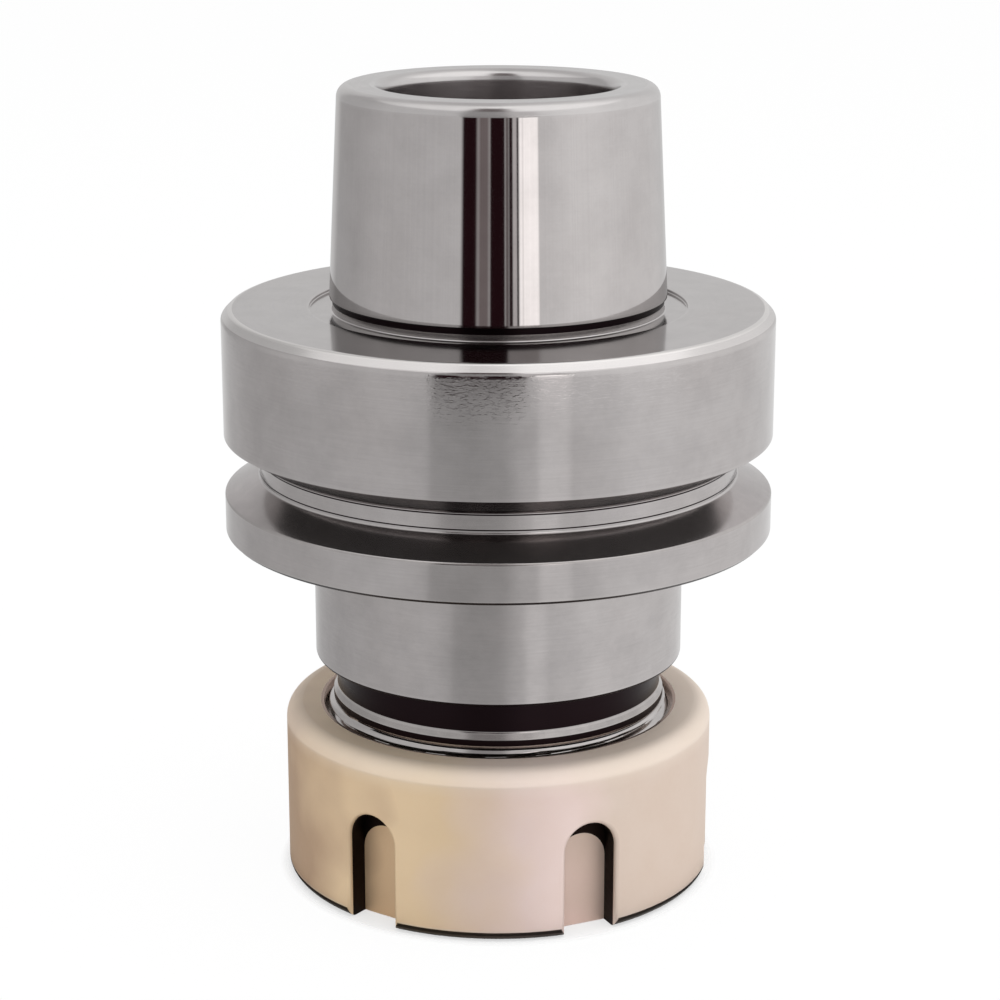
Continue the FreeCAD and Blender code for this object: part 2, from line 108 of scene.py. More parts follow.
# Radii and heights from the neck down to the nut's front
THREAD = COLLET + NOSE_WALL
NECK, NECK_LOW = THREAD + NECK_STEP, FLANGE_LOW - NECK_LENGTH
UNDERCUT, COLLAR = THREAD - UNDERCUT_DEPTH, THREAD - RUN_OUT_DEPTH
COLLAR_TOP = NECK_LOW - COLLAR_BELOW
COLLAR_LOW = COLLAR_TOP - COLLAR_LENGTH
THREAD_TOP = COLLAR_LOW - THREAD_BELOW
MAJOR, MINOR = THREAD - CREST_GAP, THREAD - ROOT_DEPTH
NUT, NUT_TOP = THREAD + NUT_WALL, NECK_LOW - UNDERCUT_LENGTH - RUN_OUT_LENGTH - NUT_GAP
NUT_FRONT = NUT_TOP - NUT_LENGTH
NUT_MAJOR, NUT_MINOR = THREAD + NUT_ROOT_GAP, THREAD - NUT_CREST_DEPTH
SLOT_FLOOR = NUT - SLOT_DEPTH

# Collet's head, with the lip and the cone that the nut has round it
HEAD, COLLET_FACE = COLLET - HEAD_STEP, NUT_FRONT + COLLET_RECESS
HEAD_END = COLLET_FACE + HEAD_RISE / math.tan(HEAD_ANGLE) + HEAD_LAND
HEAD_GROOVE_END = HEAD_END + HEAD_GROOVE
LIP_LOW, LIP_TOP = HEAD_END + LIP_CLEARANCE, HEAD_GROOVE_END - LIP_CLEARANCE
LIP_HOLE = HEAD - HEAD_GROOVE_DEPTH + LIP_GAP + LIP_OFFSET
CONE_GAP = CONE_CLEARANCE / math.cos(HEAD_ANGLE)
CONE_MOUTH = HEAD - HEAD_RISE + CONE_GAP - COLLET_RECESS * math.tan(HEAD_ANGLE)
CONE_TOP = HEAD + HEAD_CLEARANCE
CONE_END = NUT_FRONT + (CONE_TOP - CONE_MOUTH) / math.tan(HEAD_ANGLE)

# Nose's end and the collet's seat in it
NOSE_END = LIP_TOP + NOSE_GAP
LAND_END = HEAD_GROOVE_END + COLLET_LAND
SEAT_MOUTH = COLLET + SEAT_CLEARANCE + (LAND_END - NOSE_END) * COLLET_SLOPE
SEAT_END = COLLET_FACE + COLLET_LENGTH + SEAT_OVERRUN
SEAT_TOP = SEAT_MOUTH - (SEAT_END - NOSE_END) * COLLET_SLOPE


# Outlines and turned meshes

ROUND_TURN, ROUND_STEPS, ROUND_SHARE, ROUND_LEAST = 11, 3, 0.46, 1e-4
MARGIN_MOST, MARGIN_SHARE, MARGIN_LEAST = 0.35, 0.02, 0.02


def margin(length):
    """Distance from a round to the row that keeps the wall beside it flat."""
    return min(MARGIN_MOST, MARGIN_SHARE * length + MARGIN_LEAST)


def on_arc(start, end, here, turn, share):
    """Point of the round between start and end that touches both walls."""
    half = (start + end) / 2
    outward = here - half
    chord = np.linalg.norm(end - start) / 2
    radius = chord / math.sin(turn / 2)
    away = math.sqrt(max(radius ** 2 - chord ** 2, 0))
    centre = half - outward / np.linalg.norm(outward) * away
    first, last = start - centre, end - centre
    angle = turn * share
    return centre + (math.sin(turn - angle) * first + math.sin(angle) * last) / math.sin(turn)


def corner_rows(before, corner, after):
    """Rows of one corner: its round, and a row on the wall at each side of it."""
    rounding, region, round_region = corner[2:]
    here = np.array(corner[:2])
    into, out = here - np.array(before[:2]), np.array(after[:2]) - here
    len_in, len_out = np.linalg.norm(into), np.linalg.norm(out)
    into, out = into / len_in, out / len_out
    turn = math.acos(float(np.clip(into @ out, -1, 1)))
    reach = min(rounding * math.tan(turn / 2), ROUND_SHARE * len_in, ROUND_SHARE * len_out)
    start, end = here - into * reach, here + out * reach
    found = [(*(start - into * margin(len_in)), before[3], 0.0)]
    if reach < ROUND_LEAST:
        found.append((*here, region, 1.0))
    else:
        steps = max(ROUND_STEPS, math.ceil(math.degrees(turn) / ROUND_TURN))
        for step in range(steps):
            found.append((*on_arc(start, end, here, turn, step / steps), round_region, 1.0))
        found.append((*on_arc(start, end, here, turn, 1.0), region, 1.0))
    found.append((*(end + out * margin(len_out)), region, 0.0))
    return found


class Outline:
    """Closed half section, walked with the material on the right, as rows of one ring each."""

    def __init__(self):
        self.corners = []

    def to(self, radius, height, rounding, region, round_region=None):
        """Corner, its rounding, the region of the wall that starts there and that of the round."""
        self.corners.append((radius, height, rounding, region, round_region or region))

    def rows(self):
        """Rows (radius, height, region, edge share), with rounded corners."""
        found = []
        for number, corner in enumerate(self.corners):
            after = self.corners[(number + 1) % len(self.corners)]
            found += corner_rows(self.corners[number - 1], corner, after)
        return found


def thread_form(phase, low, high):
    """Radius of a sixty-degree thread by its place in one pitch, with flat crest and root."""
    near = np.abs(phase - 0.5) * 2
    ramp = np.clip((near - ROOT_END) / (CREST_START - ROOT_END), 0, 1)
    smooth = ramp * ramp * (3 - 2 * ramp) * FLANK_BEND + ramp * (1 - FLANK_BEND)
    return low + (high - low) * smooth


def thread_radii(height, low, high):
    """Radii round the axis of a right-hand thread at one height."""
    angle = np.arange(SEGMENTS) / SEGMENTS
    return thread_form(np.mod(height / PITCH - angle, 1), low, high)


def with_ridges(rows, wall, ridge, share):
    """Rows with a thread's ridges put in where the wall of that region runs along the axis."""
    made = []
    for row, following in zip(rows, rows[1:] + rows[:1]):
        made.append(row)
        start, end = row[1], following[1]
        if row[2] == wall and abs(end - start) > RIDGE_SHORTEST:
            steps = int(abs(end - start) / RIDGE_ROW)
            for step in range(1, steps):
                height = start + (end - start) * step / steps
                made.append((ridge(height, start, end), height, wall, share))
    return made


def place_in_scene(name, data):
    """New object of the mesh, lamp or camera given."""
    thing = bpy.data.objects.new(name, data)
    bpy.context.scene.collection.objects.link(thing)
    return thing


def smooth_shading(mesh):
    """Smooth faces with sharp edges where they meet at a steep angle."""
    mesh.polygons.foreach_set("use_smooth", np.ones(len(mesh.polygons), bool))
    mesh.set_sharp_from_angle(angle=CREASE)


def lathe(name, rows, materials):
    """Ring mesh from rows of (radius or radii round the axis, height, region, edge share)."""
    count = len(rows)
    angle = np.arange(SEGMENTS) * 2 * math.pi / SEGMENTS
    points = np.zeros((count, SEGMENTS, 3))
    shares = np.zeros((count, SEGMENTS))
    for number, (radius, height, region, share) in enumerate(rows):
        points[number, :, 0] = radius * np.cos(angle)
        points[number, :, 1] = radius * np.sin(angle)
        points[number, :, 2] = height
        shares[number] = share
    index = np.arange(count * SEGMENTS).reshape(count, SEGMENTS)
    below = np.roll(index, -1, axis=0)
    faces = np.stack([index, below, np.roll(below, -1, axis=1), np.roll(index, -1, axis=1)], -1)
    mesh = bpy.data.meshes.new(name)
    mesh.from_pydata((points.reshape(-1, 3) * MM).tolist(), [], faces.reshape(-1, 4).tolist())
    edge = mesh.attributes.new("edge", "FLOAT", "POINT")
    edge.data.foreach_set("value", shares.ravel().astype(np.float32))
    for material in materials.values():
        mesh.materials.append(material)
    order = list(materials)
    kinds = np.array([order.index(row[2]) for row in rows])
    mesh.polygons.foreach_set("material_index", np.repeat(kinds, SEGMENTS))
    mesh.update()
    smooth_shading(mesh)
    return place_in_scene(name, mesh)


def ring_faces(levels, count):
    """Faces that join each ring of points to the next one."""
    faces = []
    for level in range(levels - 1):
        for number in range(count):
            here = level * count + number
            beside = level * count + (number + 1) % count
            faces.append((here, beside, beside + count, here + count))
    return faces


# Nodes

class Nodes:
    """Short names for the nodes of a material or a world."""

    def __init__(self, owner, output):
        owner.use_nodes = True
        self.tree = owner.node_tree
        self.tree.nodes.clear()
        self.out = self.node(output)

    def node(self, kind, **settings):
        made = self.tree.nodes.new(kind)
        for key, value in settings.items():
            setattr(made, key, value)
        return made

    def put(self, socket, value):
        """Links an output to the socket, or sets its value; None leaves it as it is."""
        if isinstance(value, bpy.types.NodeSocket):
            self.tree.links.new(value, socket)
        elif value is not None:
            socket.default_value = value

    def filled(self, made, *values):
        """The node's first output, once its inputs have the values in their order."""
        for number, value in enumerate(values):
            self.put(made.inputs[number], value)
        return made.outputs[0]

    def math(self, operation, first, second=None, third=None, clamp=False):
        made = self.node("ShaderNodeMath", operation=operation, use_clamp=clamp)
        return self.filled(made, first, second, third)

    def remap(self, value, over, to):
        """Value carried from one range over to another, and held at its ends."""
        return self.filled(self.node("ShaderNodeMapRange"), value, *over, *to)

    def vector(self, x, y, z):
        return self.filled(self.node("ShaderNodeCombineXYZ"), x, y, z)

    def split(self, vector):
        made = self.node("ShaderNodeSeparateXYZ")
        self.put(made.inputs[0], vector)
        return made.outputs

    def mix(self, factor, first, second):
        """One shader passing into another."""
        return self.filled(self.node("ShaderNodeMixShader"), factor, first, second)

    def blend(self, factor, first, second, mode="MIX"):
        """One colour passing into another, or multiplied by it."""
        made = self.node("ShaderNodeMix", data_type="RGBA", blend_type=mode)
        self.put(made.inputs[0], factor)
        self.put(made.inputs[6], first)
        self.put(made.inputs[7], second)
        return made.outputs[2]

    def noise(self, vector, scale, detail, roughness):
        made = self.node("ShaderNodeTexNoise")
        self.put(made.inputs["Vector"], vector)
        self.put(made.inputs["Scale"], scale)
        self.put(made.inputs["Detail"], detail)
        self.put(made.inputs["Roughness"], roughness)
        return made.outputs["Fac"]


class Shade(Nodes):
    """Nodes of one new material."""

    def __init__(self, name):
        self.material = bpy.data.materials.new(name)
        super().__init__(self.material, "ShaderNodeOutputMaterial")


RING_LEAN, RING_ROUGHNESS, LEAST_RADIUS = 0.37, 0.6, 1e-5


class MetalShade(Shade):
    """Material of a metal turned about the axis, its places as direction, radius and height."""

    def __init__(self, name):
        super().__init__(name)
        self.place = self.node("ShaderNodeTexCoord").outputs["Object"]
        x, y, self.height = self.split(self.place)
        squares = self.math("ADD", self.math("MULTIPLY", x, x), self.math("MULTIPLY", y, y))
        self.radius = self.math("SQRT", squares)
        safe = self.math("MAXIMUM", self.radius, LEAST_RADIUS)
        self.unit_x = self.math("DIVIDE", x, safe)
        self.unit_y = self.math("DIVIDE", y, safe)

    def ring_noise(self, around, along, detail):
        """Noise drawn out into rings: it changes slowly round the axis and quickly along it."""
        lengthwise = self.math("MULTIPLY_ADD", self.radius, RING_LEAN, self.height)
        drawn_out = self.vector(self.math("MULTIPLY", self.unit_x, around),
                                self.math("MULTIPLY", self.unit_y, around),
                                self.math("MULTIPLY", lengthwise, along))
        return self.noise(drawn_out, 1.0, detail, RING_ROUGHNESS)

    def sway(self, noise, swing, middle):
        """The middle value, swung up and down by a noise."""
        return self.math("MULTIPLY_ADD", self.math("SUBTRACT", noise, 0.5), swing, middle)

    def rubbed(self, broad, least, wear):
        """Share of bright metal on the mesh's edges, uneven by the broad noise."""
        edge = self.node("ShaderNodeAttribute", attribute_name="edge").outputs["Fac"]
        uneven = self.remap(broad, over=(0.35, 0.7), to=(least, 1.0))
        return self.math("MULTIPLY", self.math("MULTIPLY", edge, uneven), wear)

    def bumped(self, relief, depth, normal=None):
        """Normal of a surface with the relief, its depth in millimetres."""
        bump = self.node("ShaderNodeBump")
        self.put(bump.inputs["Strength"], 1.0)
        self.put(bump.inputs["Distance"], depth * MM)
        self.put(bump.inputs["Height"], relief)
        self.put(bump.inputs["Normal"], normal)
        return bump.outputs[0]

    def finish(self, tone, roughness, normal, metallic=1.0):
        """Surface of the tone, roughness and normal given; returns its shader."""
        shader = self.node("ShaderNodeBsdfPrincipled")
        self.put(shader.inputs["Base Color"], tone)
        self.put(shader.inputs["Metallic"], metallic)
        self.put(shader.inputs["Roughness"], roughness)
        self.put(shader.inputs["Normal"], normal)
        self.put(self.out.inputs[0], shader.outputs[0])
        return shader


# Kinds of metal

WARM = (0.93, 0.87, 0.83)
LEAST_ROUGHNESS, QUARTER_TURN = 0.02, 0.25
TORN_FOOT, TORN_TOP = -0.008, -0.0015
# The second value is a tint that darkens a coat as painted shade
COAT_BUMP, COAT_SHADE_TINT = 0.004, (1.0, 0.93, 0.88)
# Coat colours from left to right: the coating's champagne tone, darker on the left and lighter on
# the right as painted light and shade
GOLD, AMBER = (0.6, 0.42, 0.28, 1), (0.96, 0.75, 0.5, 1)
PINK, CREAM = (0.94, 0.77, 0.72, 1), (0.82, 0.69, 0.6, 1)
# The last colour here, with the heights below, paints a highlight on the coat towards the nut's top
COAT_BLOTCH, COAT_WORN, COAT_TOP_HIGHLIGHT = (0.62, 0.44, 0.3, 1), (0.93, 0.83, 0.74, 1), (1.0, 0.89, 0.77, 1)
HIGHLIGHT_LOW, HIGHLIGHT_TOP = (NUT_TOP - 3.4) * MM, (NUT_TOP - 0.4) * MM
CAD_BEVEL = 0.15


def times(colour, shares):
    """Colour multiplied part by part."""
    return (*[part * share for part, share in zip(colour, shares)], 1)


def darker(colour, share):
    return times(colour, (share,) * 3)


def brighter(colour, gain, lift):
    return (*[min(1.0, part * gain + lift) for part in colour], 1)


def torn_marks(shade, strength):
    """Relief of short torn dashes, and its strength, which fades down the flange's edge."""
    dashes = shade.ring_noise(around=44.0, along=4300.0, detail=2.0)
    there = shade.remap(shade.height, over=(TORN_FOOT, TORN_TOP), to=(0.0, strength))
    return shade.remap(dashes, over=(0.52, 0.74), to=(0.0, 0.45)), there


def turned_metal(name, colour, rough, grain, bump, spread=0.0, worn=None, wear=0.35,
                 mottle=0.06, streak=0.8, torn=0.0):
    """Turned or ground metal: rings of grain, mottle, bump, and edges rubbed bright."""
    shade = MetalShade(name)
    rings = shade.ring_noise(around=5.0, along=grain, detail=4.0)
    broad = shade.noise(shade.place, scale=55.0, detail=3.0, roughness=0.55)
    cloud = shade.noise(shade.place, scale=210.0, detail=6.0, roughness=0.64)
    specks = shade.noise(shade.place, scale=2600.0, detail=2.0, roughness=0.5)
    warmed = shade.remap(broad, over=(0.3, 0.75), to=(0.0, mottle))
    tone = shade.blend(warmed, (*colour, 1), times(colour, WARM))
    streaked = shade.remap(rings, over=(0.25, 0.8), to=(0.0, mottle * streak))
    tone = shade.blend(streaked, tone, darker(colour, 0.62))
    clouded = shade.remap(cloud, over=(0.38, 0.66), to=(0.0, mottle))
    tone = shade.blend(clouded, tone, darker(colour, 0.6))
    bright = (*worn, 1) if worn else brighter(colour, 1.18, 0.03)
    tone = shade.blend(shade.rubbed(broad, 0.4, wear), tone, bright)
    varied = shade.sway(broad, rough * 0.35, shade.sway(rings, rough * 0.45, rough))
    relief = shade.math("MULTIPLY_ADD", specks, 0.25, rings)
    if torn:
        relief = shade.math("MULTIPLY_ADD", *torn_marks(shade, torn / bump), relief)
    shader = shade.finish(tone, shade.math("MAXIMUM", varied, LEAST_ROUGHNESS),
                          shade.bumped(relief, bump))
    if spread:
        shade.put(shader.inputs["Anisotropic"], spread)
        shade.put(shader.inputs["Anisotropic Rotation"], QUARTER_TURN)
        tangent = shade.node("ShaderNodeTangent", direction_type="RADIAL", axis="Z")
        shade.put(shader.inputs["Tangent"], tangent.outputs[0])
    return shade.material


def coat_tone(shade, broad):
    """Colour of the coating: its champagne tone with painted light and shade, dark gold on the left
    through amber and pink to cream on the right, and a painted highlight at the top.
    """
    across = shade.math("MULTIPLY", shade.unit_x, shade.radius)
    drift = shade.noise(shade.place, scale=75.0, detail=2.0, roughness=0.5)
    across = shade.sway(drift, 0.02, across)
    # Painted light and shade: the tone passes from dark gold on the left to cream on the right
    tone = shade.blend(shade.remap(across, over=(-0.022, -0.015), to=(0.0, 1.0)), GOLD, AMBER)
    tone = shade.blend(shade.remap(across, over=(-0.008, 0.003), to=(0.0, 1.0)), tone, PINK)
    tone = shade.blend(shade.remap(across, over=(0.007, 0.014), to=(0.0, 1.0)), tone, CREAM)
    tone = shade.blend(shade.remap(broad, over=(0.4, 0.75), to=(0.0, 0.28)), tone, COAT_BLOTCH)
    tone = shade.blend(shade.rubbed(broad, 0.5, 0.4), tone, COAT_WORN)
    # Painted highlight: the coat turns paler towards the nut's top
    top_highlight = shade.remap(shade.height, over=(HIGHLIGHT_LOW, HIGHLIGHT_TOP), to=(0.0, 0.45))
    return shade.blend(top_highlight, tone, COAT_TOP_HIGHLIGHT)


def satin_coat(name, level=1.0, rough=0.55, metallic=0.7):
    """Satin coating with turning lines, a faint peel and rubbed edges; a level below one darkens it
    as painted shade.
    """
    shade = MetalShade(name)
    broad = shade.noise(shade.place, scale=45.0, detail=3.0, roughness=0.6)
    peel = shade.noise(shade.place, scale=1500.0, detail=3.0, roughness=0.55)
    rings = shade.ring_noise(around=4.0, along=5200.0, detail=3.0)
    tone = coat_tone(shade, broad)
    # Painted shade: a level below one darkens the whole coat
    if level < 1:
        tone = shade.blend(1.0, tone, darker(COAT_SHADE_TINT, level), "MULTIPLY")
    varied = shade.sway(peel, 0.14, shade.sway(broad, 0.12, rough))
    relief = shade.math("MULTIPLY_ADD", rings, 0.6, peel)
    shade.finish(tone, varied, shade.bumped(relief, COAT_BUMP), metallic)
    return shade.material


def cad_metal(name, colour, rough, grain, bump, wear=0.5):
    """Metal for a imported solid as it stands: the bevel shader rounds and brightens edges."""
    shade = MetalShade(name)
    rings = shade.ring_noise(around=5.0, along=grain, detail=4.0)
    broad = shade.noise(shade.place, scale=90.0, detail=3.0, roughness=0.55)
    specks = shade.noise(shade.place, scale=2400.0, detail=2.0, roughness=0.5)
    bevel = shade.node("ShaderNodeBevel", samples=6)
    shade.put(bevel.inputs["Radius"], CAD_BEVEL * MM)
    dot = shade.node("ShaderNodeVectorMath", operation="DOT_PRODUCT")
    shade.put(dot.inputs[0], bevel.outputs[0])
    shade.put(dot.inputs[1], shade.node("ShaderNodeNewGeometry").outputs["Normal"])
    edge = shade.remap(dot.outputs["Value"], over=(0.995, 0.9), to=(0.0, 1.0))
    mottled = shade.remap(broad, over=(0.3, 0.75), to=(0.0, 0.3))
    tone = shade.blend(mottled, (*colour, 1), darker(colour, 0.82))
    tone = shade.blend(shade.math("MULTIPLY", edge, wear), tone, brighter(colour, 1.35, 0.05))
    varied = shade.sway(broad, rough * 0.4, shade.sway(rings, rough * 0.5, rough))
    relief = shade.math("MULTIPLY_ADD", specks, 0.35, rings)
    shade.finish(tone, varied, shade.bumped(relief, bump, bevel.outputs[0]))
    return shade.material


# Materials by the region they cover

STEEL = (0.635, 0.605, 0.6)
holder_materials = {
    "taper": turned_metal("taper_ground", STEEL, rough=0.05, grain=9000.0, bump=0.0003,
                          worn=(0.72, 0.7, 0.69), mottle=0.2, streak=0.4),
    "rim": turned_metal("rim_turned", (0.68, 0.655, 0.65), rough=0.2, grain=6500.0, bump=0.001,
                        spread=0.3, mottle=0.16),
    "bore": turned_metal("bore_turned", (0.6, 0.55, 0.55), rough=0.21, grain=4200.0,
                         bump=0.0003, spread=0.9),
    "face": turned_metal("face_ground", STEEL, rough=0.12, grain=7000.0, bump=0.0006,
                         spread=0.2, mottle=0.2),
    # Painted highlight: brighter steel, nearly white on its rounds, for the face's chamfer and the
    # land at the taper's foot
    "rim_edge": turned_metal("edge_turned_highlight", (0.8, 0.77, 0.76), rough=0.2, grain=5200.0,
                             bump=0.0007, worn=(0.93, 0.9, 0.88), wear=0.9),
    "flange": turned_metal("flange_turned", STEEL, rough=0.09, grain=5200.0, bump=0.0007,
                           spread=0.4, mottle=0.26, worn=(0.75, 0.72, 0.71), torn=0.011),
    "groove": turned_metal("groove_turned", (0.62, 0.59, 0.585), rough=0.15, grain=5200.0,
                           bump=0.001, spread=0.3, mottle=0.25),
    # Painted shade: a darker copy of the steel for the groove's lower flank
    "flank": turned_metal("flank_turned_shade", (0.58, 0.54, 0.535), rough=0.16, grain=5200.0,
                          bump=0.0006, spread=0.3, mottle=0.3),
    "neck": turned_metal("neck_turned", STEEL, rough=0.18, grain=4700.0, bump=0.0012,
                         spread=0.5, mottle=0.28),
    # Nearly black finish of the undercut, also used for the painted shade lines beside the groove's
    # root
    "dark": turned_metal("undercut_turned", (0.02, 0.012, 0.014), rough=0.3, grain=4200.0,
                         bump=0.001, worn=(0.05, 0.04, 0.04), spread=0.2, wear=0.2),
    "collar": turned_metal("collar_turned", (0.58, 0.55, 0.54), rough=0.16, grain=4200.0,
                           bump=0.001, mottle=0.5),
    "thread": turned_metal("thread_cut", (0.68, 0.65, 0.64), rough=0.14, grain=7000.0,
                           bump=0.0012, mottle=0.3),
}
nut_materials = {
    "coat": satin_coat("nut_coating"),
    "top": satin_coat("nut_top", rough=0.6, metallic=0.5),
    # Painted shade: the foot's rounding is nearly black, for the dark contact below the nut
    "foot": satin_coat("nut_foot_shade", level=0.1, rough=0.4, metallic=0.9),
    "mouth": turned_metal("nut_mouth", (0.36, 0.25, 0.2), rough=0.22, grain=4600.0,
                          bump=0.001, spread=0.2),
    "inside": turned_metal("nut_inside", (0.6, 0.54, 0.47), rough=0.3, grain=4600.0,
                           bump=0.006, spread=0.2),
    # Nearly black slot walls; the same material paints the shadow under each slot's arch
    "slot_wall_and_shadow": turned_metal("slot_wall_and_shadow", (0.02, 0.012, 0.01), rough=0.5, grain=3000.0,
                              bump=0.002, wear=0.0),
    # Painted shade: the slot's floor is a slightly darker copy of the coat
    "slot_floor": satin_coat("slot_floor", level=0.92),
}


# Holder

def taper_radius(height):
    return TAPER_TOP + (SHANK_TOP - height) * TAPER_SLOPE


def shank_outline(line):
    """From the bore's lip over the rim, down the taper to the spindle face."""
    base = taper_radius(0)
    line.to(LIP_BORE, SHANK_TOP, LIP_ROUND, "rim")
    line.to(TAPER_TOP, SHANK_TOP, RIM_ROUND, "taper", "rim")
    line.to(taper_radius(CUT_TOP), CUT_TOP, CUT_EDGE, "dark")
    line.to(base - BASE_CUT, CUT_TOP, TINY, "dark")
    # Painted highlight: the land below the dark band is the brighter edge steel
    line.to(base - BASE_CUT, CUT_FOOT, SHARP, "rim_edge")
    line.to(base - BASE_CUT, -RELIEF_DEPTH, EASED, "face")
    line.to(base + RELIEF_WIDTH, -RELIEF_DEPTH, FINE, "face")
    line.to(base + RELIEF_WIDTH, 0.0, FINE, "face")


def flange_outline(line):
    """Chamfer of the face, gripper groove with a thin line of painted shade on each side of its
    root.
    """
    half = GROOVE_FLAT / 2
    # Painted highlight: the face's chamfer is the brighter edge steel
    line.to(FLANGE - FACE_CHAMFER, 0.0, FACE_EDGE, "rim_edge")
    line.to(FLANGE, -FACE_CHAMFER, FLANGE_EDGE, "flange")
    line.to(FLANGE, GROOVE_CENTRE + GROOVE_MOUTH, SOFT, "groove")
    # Painted shade: thin dark lines where the groove's root meets its flanks
    line.to(GROOVE_ROOT, GROOVE_CENTRE + half, SOFT, "dark", "groove")
    line.to(GROOVE_ROOT, GROOVE_CENTRE + half - 2 * LINE, SHARP, "groove")
    line.to(GROOVE_ROOT, GROOVE_CENTRE - half + 2 * LINE, SHARP, "dark")
    line.to(GROOVE_ROOT, GROOVE_CENTRE - half + LINE, SHARP, "groove")
    # The lower flank takes the darker steel, a painted shade
    line.to(GROOVE_ROOT, GROOVE_CENTRE - half - 1.5 * LINE, ROOT_FILLET, "flank", "groove")
    line.to(FLANGE, GROOVE_CENTRE - GROOVE_MOUTH, SOFT, "flange", "collar")
    line.to(FLANGE, FLANGE_LOW + BACK_CHAMFER, BROKEN, "dark", "flange")
    line.to(FLANGE - BACK_CHAMFER, FLANGE_LOW, BROKEN, "neck", "dark")


def nose_outline(line):
    """Neck, blackened undercut with a bright collar, thread and the nose's end."""
    line.to(NECK, FLANGE_LOW, SOFT, "neck")
    line.to(NECK, NECK_LOW, NECK_EDGE, "dark")
    line.to(UNDERCUT, NECK_LOW, SOFT, "dark")
    line.to(UNDERCUT, COLLAR_TOP, COLLAR_EDGE, "collar")
    line.to(COLLAR, COLLAR_LOW, BROKEN, "dark", "collar")
    line.to(COLLAR, THREAD_TOP, TINY, "thread")
    line.to(THREAD - NOSE_CHAMFER, NOSE_END, TINY, "thread")


def inner_outline(line):
    """Collet seat, room for the tool's end, stop screw's hole and the gripper's chamber."""
    line.to(SEAT_MOUTH, NOSE_END, SEAT_EDGE, "bore")
    line.to(SEAT_TOP, SEAT_END, FINE, "bore")
    line.to(TOOL_ROOM, SEAT_END, FINE, "bore")
    line.to(TOOL_ROOM, TOOL_ROOM_TOP, FINE, "bore")
    line.to(SCREW_HOLE, TOOL_ROOM_TOP, EASED, "bore")
    line.to(SCREW_HOLE, CHAMBER_FLOOR, EASED, "bore")
    line.to(CHAMBER, CHAMBER_FLOOR, SOFT, "bore")
    line.to(CHAMBER, SHOULDER_HEIGHT - SHOULDER_RISE, SOFT, "bore")
    line.to(LIP_BORE, SHOULDER_HEIGHT + SHOULDER_RISE, SOFT, "bore")


def nose_ridge(height, start, end):
    """Radii of the nose's thread, which rises from the collar and falls at the nose's end."""
    limit = min(COLLAR + (THREAD_TOP - height) * THREAD_LEAD_SLOPE,
                THREAD - NOSE_CHAMFER + height - NOSE_END, MAJOR)
    return np.minimum(thread_radii(height, MINOR, MAJOR), limit)


def holder_rows():
    line = Outline()
    shank_outline(line)
    flange_outline(line)
    nose_outline(line)
    inner_outline(line)
    return with_ridges(line.rows(), "thread", nose_ridge, share=0.15)


holder = lathe("holder_turned", holder_rows(), holder_materials)
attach(holder, "holder")
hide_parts("holder_body")


# Nut

NEAR_LIP, NEAR_LIP_WALL = 0.001, 0.02


def nut_outline():
    """Outside of the nut, its cone, lip, thread and mouth."""
    line = Outline()
    line.to(NUT, NUT_TOP, NUT_ROUND, "coat", "top")
    # The foot's rounding takes the nearly black foot coat, a painted shade
    line.to(NUT, NUT_FRONT, FOOT_ROUND, "coat", "foot")
    line.to(CONE_MOUTH, NUT_FRONT, EASED, "inside")
    line.to(CONE_TOP, CONE_END, FINE, "inside")
    line.to(CONE_TOP, LIP_LOW, TINY, "inside")
    line.to(LIP_HOLE, LIP_LOW, SHARP, "inside")
    line.to(LIP_HOLE, LIP_TOP, SHARP, "inside")
    line.to(NUT_MAJOR, LIP_TOP, FINE, "nut_thread")
    line.to(NUT_MAJOR, NUT_TOP - MOUTH_CHAMFER, TINY, "mouth")
    line.to(NUT_MAJOR + MOUTH_CHAMFER, NUT_TOP, BROKEN, "mouth")
    line.to(NUT_MAJOR + MOUTH_CHAMFER + 2 * LINE, NUT_TOP, SHARP, "top")
    return line


def lip_radii():
    """Radii round the axis of the lip's hole, which stands off centre."""
    around = np.arange(SEGMENTS) * 2 * math.pi / SEGMENTS - NUT_TURN
    centred = np.sqrt(LIP_HOLE ** 2 - (LIP_OFFSET * np.sin(around)) ** 2)
    return LIP_OFFSET * np.cos(around) + centred


def nut_ridge(height, start, end):
    """Radii of the nut's thread, which runs out into a relief at both ends."""
    run_in = max(0.0, (height - start) / RUN_IN - RUN_DELAY)
    run_out = max(0.0, (end - height) / RUN_OUT)
    relief = NUT_MAJOR - RUN_DEPTH * min(1.0, run_in, run_out)
    return np.maximum(thread_radii(height, NUT_MINOR, NUT_MAJOR), relief)


def on_lip(radius, height):
    """Whether a row lies on the wall of the lip's hole."""
    beside = LIP_LOW - NEAR_LIP <= height <= LIP_TOP + NEAR_LIP
    return beside and radius < LIP_HOLE + NEAR_LIP_WALL


def nut_rows():
    """Rows of the nut, with the lip's hole off centre and the ridges of its thread."""
    made = []
    for radius, height, region, share in nut_outline().rows():
        made.append((lip_radii() if on_lip(radius, height) else radius, height, region, share))
    made = with_ridges(made, "nut_thread", nut_ridge, share=0.1)
    return [(radii, height, "inside" if region == "nut_thread" else region, share)
            for radii, height, region, share in made]


# Wrench slots

ARCH_STEPS, FLARE_STEPS, FLARE_TURN = 20, 6, 13.5
SLOT_BELOW, SLOT_BEYOND, SLOT_SPREAD = 1.5, 1.2, 0.25


def slot_arch(half):
    """Sideways places and heights of a slot's half-round top, from left to right."""
    middle = NUT_FRONT + SLOT_HEIGHT - SLOT_HALF
    turns = [math.pi * (1 - step / ARCH_STEPS) for step in range(ARCH_STEPS + 1)]
    return [(half * math.cos(turn), middle + half * math.sin(turn)) for turn in turns]


